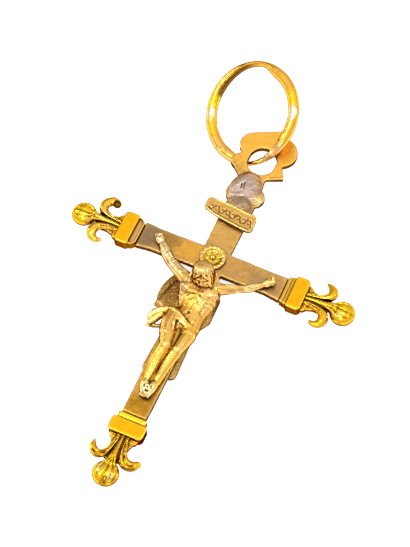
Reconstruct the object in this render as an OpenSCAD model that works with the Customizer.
// A small double-sided cross pendant that lies on its back.
// The crossbar, the upright and the pierced top plate are one sheet. Three cast ends, a halo, a scroll,
// a figure on the front and a veiled one on the back sit on it, and a worn ring hangs in the plate.
// X runs along the crossbar, +Y goes to the ring and +Z comes out of the front. The surface is at z = 0.
// Pieces are drawn round the crossing, with z = 0 in the middle of the sheet, and lay_flat places them.

/* [Cross] */
// From the crossing to the tip of each side end
arm_reach = 15.35; // [15:0.05:16]
// From the crossing down to the tip of the foot end
foot_reach = 25.7; // [25:0.1:27]
// Thickness of the sheet
sheet_t = 0.7; // [0.6:0.05:0.75]
// Width of the crossbar near its middle
bar_w = 2.6; // [2.4:0.05:2.7]
// Width of the upright at the crossing
stem_w = 2.95; // [2.8:0.05:3.1]
// Width of the upright at the foot
foot_w = 2.5; // [2.3:0.05:2.6]
// Gap between neighbouring pieces
gap = 0.03; // [0.02:0.01:0.05]

/* [Top plate] */
// Radius of the hole for the ring
hole_r = 1.45; // [1.42:0.01:1.5]
// Centre of the hole above the crossing
hole_y = 12.65; // [12.6:0.05:12.7]
// How far the ring has worn the hole up
hole_worn = 0.42; // [0.4:0.02:0.5]
// How far the solder stands out of each face
solder_h = 0.3; // [0.15:0.05:0.4]

/* [Cast ends] */
// Length of the tablet along the arm
tablet_l = 1.55; // [1.45:0.05:1.65]
// Width of the tablet across the arm
tablet_w = 3.6; // [3.4:0.05:3.8]
// Thickness of the tablet
tablet_t = 1.42; // [1.3:0.02:1.5]
// Length of the lower collar between the tablet and the sheet
collar_l = 0.72; // [0.6:0.02:0.8]
// From the tablet's inner face to the tip of the bud
fleur_l = 6.8; // [6.7:0.05:6.9]

/* [Ring] */
// Inner and outer edge of the wire lie half its thickness from this radius, across the ring
ring_rx = 4.68; // [4.64:0.02:4.72]
// The same radius along the ring, which is worn a little oval
ring_ry = 5.08; // [5.04:0.02:5.12]
// Thickness of the unworn wire
wire_d = 1.16; // [1.1:0.02:1.2]
// Thickness where a chain wore it, at the far end
worn_top_d = 0.6; // [0.5:0.02:0.8]
// Thickness where the plate wore it, in the hole
worn_foot_d = 0.46; // [0.4:0.02:0.5]

/* [Figures] */
// How far the figure on the back stands out behind the sheet
back_relief = 1.5; // [1.5:0.05:1.7]
// Radius of the halo
halo_r = 1.35; // [1.25:0.05:1.4]
// Thickness of the scroll strip
scroll_t = 0.36; // [0.3:0.02:0.45]

/* [Hidden] */

gold = "#E8B030";
pale_gold = "#E8C070";
orange_gold = "#FFC21A";
dark_gold = "#B08830";

face_z = sheet_t / 2;
seat_z = face_z + gap;
floor_z = -face_z - back_relief;
tablet_inner_x = arm_reach - fleur_l;
tablet_inner_y = foot_reach - fleur_l;
bar_end_x = tablet_inner_x - collar_l - gap;
bar_end_y = tablet_inner_y - collar_l - gap;
bar_rise = 0.1;
flare_l = 1.6;
flare = 0.2;
stem_lean = 0.07;
plate_x = 0.1;
neck_base_y = 6.6;

// The ring leans on the plate: turned about its long axis, lifted at the far end and turned aside
ring_roll = 25;
ring_pitch = 17;
ring_turn = 23.75;
ring_centre = [-3, hole_y + 4.79, 1.14];
ring_sides = 18;
ring_stations = 66;

// Angles of the two worn places on the ring, and how many degrees each spreads before and after
worn_top_at = 76;
worn_top_spread = [26, 66];
worn_foot_at = 266;
worn_foot_spread = [34, 60];

// The whole part is centred along Y between the foot's tip and the ring's far edge
ring_far_y = max([for (a = [0 : 2 : 358]) ring_outer(a)[1]]);
centre_y = (ring_far_y - foot_reach) / 2;

// Places of the front figure, each [x, y, z, radius]
hand_l = [-6.0, 0.38, 0.9, 0.5];
wrist_l = [-4.98, -0.62, 0.82, 0.4];
elbow_l = [-3.66, -1.92, 0.98, 0.58];
shoulder_l = [-1.42, -3.25, 1.35, 0.7];
hand_r = [6.65, 0.15, 0.9, 0.5];
wrist_r = [5.75, -0.68, 0.82, 0.4];
elbow_r = [4.35, -1.92, 1.0, 0.52];
shoulder_r = [2.1, -3.15, 1.35, 0.66];
neck_low = [0.45, -3.3, 1.7, 0.6];
skull = [0.35, -2.5, 2.6, 0.98];
beard = [0.75, -3.75, 2.25, 0.52];
nose = [0.62, -3.1, 3.25, 0.2];
chest_l = [-0.6, -3.95, 1.36, 0.96];
chest_r = [1.65, -3.85, 1.36, 0.96];
waist_l = [0.05, -6.45, 1.2, 0.78];
waist_r = [1.35, -6.4, 1.2, 0.78];
hip_l = [-0.75, -8.15, 1.25, 0.84];
hip_r = [1.35, -8.35, 1.25, 0.84];
knee_l = [-0.05, -10.95, 2.1, 0.66];
knee_r = [1.45, -11.0, 2.05, 0.64];
calf_l = [-0.4, -12.8, 1.35, 0.6];
calf_r = [0.95, -12.8, 1.35, 0.56];
ankle_l = [-0.42, -14.7, 0.92, 0.48];
ankle_r = [0.6, -14.6, 0.92, 0.42];
toes = [0.02, -15.8, 0.98, 0.58];
cloth_knot = [-1.6, -7.5, 1.35, 0.5];
cloth_end_a = [-2.75, -7.95, 1.2, 0.3];
cloth_end_b = [-2.75, -8.75, 1.0, 0.3];
cloth_band_l = [-1.3, -7.2, 1.45, 0.5];
cloth_band_m = [0.3, -7.7, 1.95, 0.42];
cloth_band_r = [1.95, -8.5, 1.3, 0.5];

// Places of the back figure, each [x, y, height of its centre over the surface, radius]
veil_top = [0, -1.3, 0.78, 0.7];
veil_low = [0, -2.2, 0.78, 0.78];
cloak_l = [-2.2, -3.3, 0.9, 0.55];
cloak_r = [1.85, -3.4, 0.9, 0.55];
elbow_back_l = [-2.95, -5.75, 0.9, 0.58];
elbow_back_r = [1.88, -5.8, 0.9, 0.55];
hands_back = [-0.3, -5.0, 0.75, 0.75];
waist_back_l = [-0.95, -7.1, 0.85, 0.6];
waist_back_r = [0.9, -7.2, 0.85, 0.6];
knees_back = [0, -9.6, 0.8, 0.8];
hem_back_l = [-1.25, -12.45, 0.65, 0.62];
hem_back_r = [1.05, -12.3, 0.65, 0.62];

// Smooth swell of 1 at the angle "at", which dies away over the spread to each side
function turn_from(a, at) = ((a - at + 540) % 360) - 180;
function swell(a, at, spread) =
    let (d = turn_from(a, at), w = d < 0 ? spread[0] : spread[1])
    abs(d) >= w ? 0 : pow(cos(90 * d / w), 2);

// Half the wire's thickness at an angle, across the ring's plane and along it
function wire_r(a) = wire_d / 2 - (wire_d - worn_top_d) / 2 * swell(a, worn_top_at, worn_top_spread)
                   - (wire_d - worn_foot_d) / 2 * swell(a, worn_foot_at, worn_foot_spread);
function wire_half_t(a) = wire_d / 2 - (wire_d - worn_top_d) / 4 * swell(a, worn_top_at, worn_top_spread)
                        - (wire_d - worn_foot_d) / 2 * swell(a, worn_foot_at, worn_foot_spread);

// A point of the ring in its own plane, u outward from the wire's middle and v across the plane
function ring_flat(a, u, v) =
    let (c = cos(a), s = sin(a), shift = wire_d / 2 - wire_r(a) + u)
    [(ring_rx + shift) * c, (ring_ry + shift) * s, v];
function ring_lean(p) =
    let (x1 = p[0] * cos(ring_roll) - p[2] * sin(ring_roll),
         z1 = p[0] * sin(ring_roll) + p[2] * cos(ring_roll),
         y2 = p[1] * cos(ring_pitch) - z1 * sin(ring_pitch),
         z2 = p[1] * sin(ring_pitch) + z1 * cos(ring_pitch))
    ring_centre + [x1 * cos(ring_turn) - y2 * sin(ring_turn), x1 * sin(ring_turn) + y2 * cos(ring_turn), z2];
function ring_outer(a) = ring_lean(ring_flat(a, wire_r(a), 0));

module lay_flat() translate([0, -centre_y, -floor_z]) children();

// One ball of a chain, p = [x, y, z, radius]
module ball(p, sides) translate([p[0], p[1], p[2]]) sphere(r = p[3], $fn = sides);

// Skin over each neighbouring pair of balls in the list
module limb(list, sides) {
    for (i = [0 : len(list) - 2]) hull() {
        ball(list[i], sides);
        ball(list[i + 1], sides);
    }
}

// Skin over all the balls in the list together
module lump(list, sides = 16) hull() for (p = list) ball(p, sides);

// Crossbar with a flare at each end
module crossbar_outline() {
    half = bar_w / 2;
    low = bar_rise - half;
    high = bar_rise + half;
    polygon([[-bar_end_x, low - flare], [-bar_end_x + flare_l, low], [bar_end_x - flare_l, low],
             [bar_end_x, low - flare], [bar_end_x, high - flare / 2], [bar_end_x - flare_l, high - flare / 2],
             [stem_w / 2, high], [-stem_w / 2, high], [-bar_end_x + flare_l, high],
             [-bar_end_x, high + flare / 2]]);
}

// Upright from the foot to the neck
module upright_outline()
    polygon([[-foot_w / 2 - stem_lean, -bar_end_y], [foot_w / 2 - stem_lean, -bar_end_y],
             [stem_w / 2 + stem_lean, neck_base_y], [-stem_w / 2 + stem_lean, neck_base_y]]);

// Plate with its upper left lobe, right lobe, lower left shoulder and lower right spur
module plate_outline() {
    translate([-1.55, 14.5]) circle(r = 1.45, $fn = 48);
    translate([1.45, 14.72]) circle(r = 1.76, $fn = 48);
    translate([-2.15, 12.1]) circle(r = 0.88, $fn = 48);
    polygon([[-2.4, 15.7], [0.5, 17.15], [2.0, 16.3], [2.3, 13.0], [2.93, 11.78], [1.25, 11.05],
             [1.3, 10.3], [-1.4, 10.3], [-2.45, 11.3]]);
}

// Neck between the plate and the upright, with the two bulges of the repair
module neck_outline() {
    polygon([[-1.5, neck_base_y - 0.3], [1.5, neck_base_y - 0.3], [1.5, 7.5], [1.3, 10.4],
             [-1.4, 10.4], [-1.4, 7.4]]);
    translate([-0.75, 8.45]) circle(r = 1.25, $fn = 40);
    translate([1.05, 8.6]) circle(r = 1.05, $fn = 40);
}

// Solder that has run over the neck, a low blob on each face
module solder() {
    blob = [[-0.6, 8.9, 1.15], [0.5, 8.6, 1.1], [-0.1, 10.2, 0.9], [0, 7.4, 0.85]];
    for (b = blob)
        translate([b[0], b[1], -face_z - solder_h]) rotate_extrude($fn = 40)
            polygon([[0, 0], [b[2] * 0.7, 0], [b[2], solder_h], [b[2], solder_h + sheet_t],
                     [b[2] * 0.7, 2 * solder_h + sheet_t], [0, 2 * solder_h + sheet_t]]);
}

module cross_beams() lay_flat() color(gold) difference() {
    union() {
        linear_extrude(sheet_t, center = true) {
            crossbar_outline();
            upright_outline();
            plate_outline();
            neck_outline();
        }
        solder();
    }
    for (up = [0, hole_worn]) translate([plate_x, hole_y + up, -sheet_t - solder_h])
        cylinder(r = hole_r, h = 2 * (sheet_t + solder_h), $fn = 64);
}

// Chamfered slab of the tablet and of its collar, from u0 to u1 along the arm
module chamfered_slab(u0, u1, w, t, corner_in, corner_out, edge) {
    hull() {
        slab_outline(u0 + edge, u1 - edge, w - 2 * edge, t, corner_in, corner_out);
        slab_outline(u0, u1, w, t - 2 * edge, corner_in, corner_out);
    }
}

module slab_outline(u0, u1, w, t, corner_in, corner_out) linear_extrude(t, center = true)
    polygon([[u0 + corner_in, -w / 2], [u1 - corner_out, -w / 2],
             [u1, -w / 2 + corner_out], [u1, w / 2 - corner_out],
             [u1 - corner_out, w / 2], [u0 + corner_in, w / 2],
             [u0, w / 2 - corner_in], [u0, -w / 2 + corner_in]]);

// Side petal: its stem leaves the tablet, bends out past the neck and curls back to a tip
module petal(side) {
    path = [[1.45, 0.72, 0.02, 0.3], [2.6, 0.66, 0.1, 0.3], [3.4, 0.78, 0.15, 0.36],
            [3.95, 1.2, 0.15, 0.44], [3.98, 1.8, 0.1, 0.47], [3.65, 2.17, 0.08, 0.44],
            [3.2, 2.28, 0.1, 0.3], [2.88, 2.24, 0.12, 0.14]];
    limb([for (p = path) [p[0], side * p[1], p[2], p[3]]], 12);
}

// A whole cast end that points along +X, with u = 0 at the tablet's inner face
module cast_end() {
    chamfered_slab(0, tablet_l, tablet_w, tablet_t, 0.22, 0.36, 0.1);
    chamfered_slab(-collar_l, 0.1, tablet_w - 0.4, tablet_t - 0.3, 0.42, 0.05, 0.08);
    hull() {
        slab_outline(tablet_l - 0.1, tablet_l + 0.25, 2.9, 0.9, 0.05, 0.2);
        slab_outline(tablet_l + 0.2, tablet_l + 0.6, 2.1, 0.8, 0.05, 0.1);
    }
    hull() {
        slab_outline(tablet_l, tablet_l + 0.5, 2.1, 0.8, 0.05, 0.1);
        slab_outline(3.2, 4.2, 1.7, 0.7, 0.05, 0.3);
    }
    limb([[tablet_l, 0, 0.12, 0.34], [3.0, 0, 0.22, 0.32], [4.3, 0, 0.2, 0.5]], 14);
    lump([[4.3, 0, 0.18, 0.5], [5.4, 0.5, 0.06, 0.86], [5.4, -0.5, 0.06, 0.86],
          [fleur_l - 0.78, 0, 0.04, 0.78]], 18);
    for (side = [-1, 1]) petal(side);
}

module terminal_left() lay_flat() color(orange_gold)
    translate([-tablet_inner_x, 0, 0]) rotate(180) cast_end();
module terminal_right() lay_flat() color(orange_gold)
    translate([tablet_inner_x, 0, 0]) cast_end();
module terminal_foot() lay_flat() color(orange_gold)
    translate([-stem_lean, -tablet_inner_y, 0]) rotate(-90) cast_end();

// Disc with a raised rim, a dished field and a ball at its centre
module halo() lay_flat() color(gold) translate([0, 0.33, seat_z]) {
    rotate_extrude($fn = 64)
        polygon([[0, 0], [halo_r, 0], [halo_r, 0.2], [halo_r - 0.12, 0.32], [halo_r * 0.66, 0.32],
                 [halo_r * 0.55, 0.18], [0, 0.14]]);
    translate([0, 0, 0.22]) sphere(r = 0.2, $fn = 32);
}

// Strip with round corners that tapers to its left, with its lower edge turned up into a lip
module title_scroll() lay_flat() color(pale_gold) translate([0, 0, seat_z]) {
    corners = [[-2.72, 6.2, 0.46], [-2.72, 5.62, 0.46], [1.8, 5.8, 0.58], [1.92, 4.8, 0.5]];
    lip = [[-2.85, 5.26], [-1.9, 4.9], [1.2, 4.42], [2.0, 4.38]];
    linear_extrude(scroll_t) hull() for (c = corners) translate([c[0], c[1]]) circle(r = c[2], $fn = 32);
    limb([for (p = lip) [p[0], p[1], scroll_t, 0.1]], 12);
}

module corpus() lay_flat() color(pale_gold) {
    limb([hand_l, wrist_l, elbow_l, shoulder_l], 18);
    limb([hand_r, wrist_r, elbow_r, shoulder_r], 18);
    lump([shoulder_l, shoulder_r, chest_l, chest_r], 20);
    lump([chest_l, chest_r, waist_l, waist_r], 20);
    lump([waist_l, waist_r, hip_l, hip_r], 20);
    lump([neck_low, skull, beard], 22);
    lump([nose, beard], 10);
    limb([hip_l, knee_l, calf_l, ankle_l, toes], 18);
    limb([hip_r, knee_r, calf_r, ankle_r, toes], 18);
    limb([cloth_band_l, cloth_band_m, cloth_band_r], 14);
    lump([cloth_band_l, cloth_knot, cloth_end_a, cloth_end_b], 14);
}

// The back figure is drawn from the surface up, and its flat side lies against the sheet
module back_figure() lay_flat() color(dark_gold) intersection() {
    translate([0, 0, floor_z]) {
        lump([veil_top, veil_low]);
        lump([veil_low, cloak_l, cloak_r, hands_back]);
        lump([cloak_l, elbow_back_l, hands_back]);
        lump([cloak_r, elbow_back_r, hands_back]);
        lump([elbow_back_l, hands_back, elbow_back_r, waist_back_l, waist_back_r]);
        lump([waist_back_l, waist_back_r, knees_back]);
        lump([waist_back_l, hem_back_l, knees_back]);
        lump([waist_back_r, hem_back_r, knees_back]);
        lump([hem_back_l, hem_back_r, knees_back]);
    }
    translate([-5, -14, floor_z - 1]) cube([10, 15, back_relief + 1 - gap]);
}

module jump_ring() lay_flat() color(gold) {
    rings = [for (i = [0 : ring_stations - 1]) let (a = 360 * i / ring_stations)
             [for (j = [0 : ring_sides - 1]) let (b = 360 * j / ring_sides)
              ring_lean(ring_flat(a, wire_r(a) * cos(b), wire_half_t(a) * sin(b)))]];
    points = [for (r = rings) each r];
    faces = [for (i = [0 : ring_stations - 1], j = [0 : ring_sides - 1])
             let (i2 = (i + 1) % ring_stations, j2 = (j + 1) % ring_sides)
             [i * ring_sides + j, i * ring_sides + j2, i2 * ring_sides + j2, i2 * ring_sides + j]];
    polyhedron(points, faces, convexity = 6);
}

cross_beams();
terminal_left();
terminal_right();
terminal_foot();
halo();
title_scroll();
corpus();
back_figure();
jump_ring();
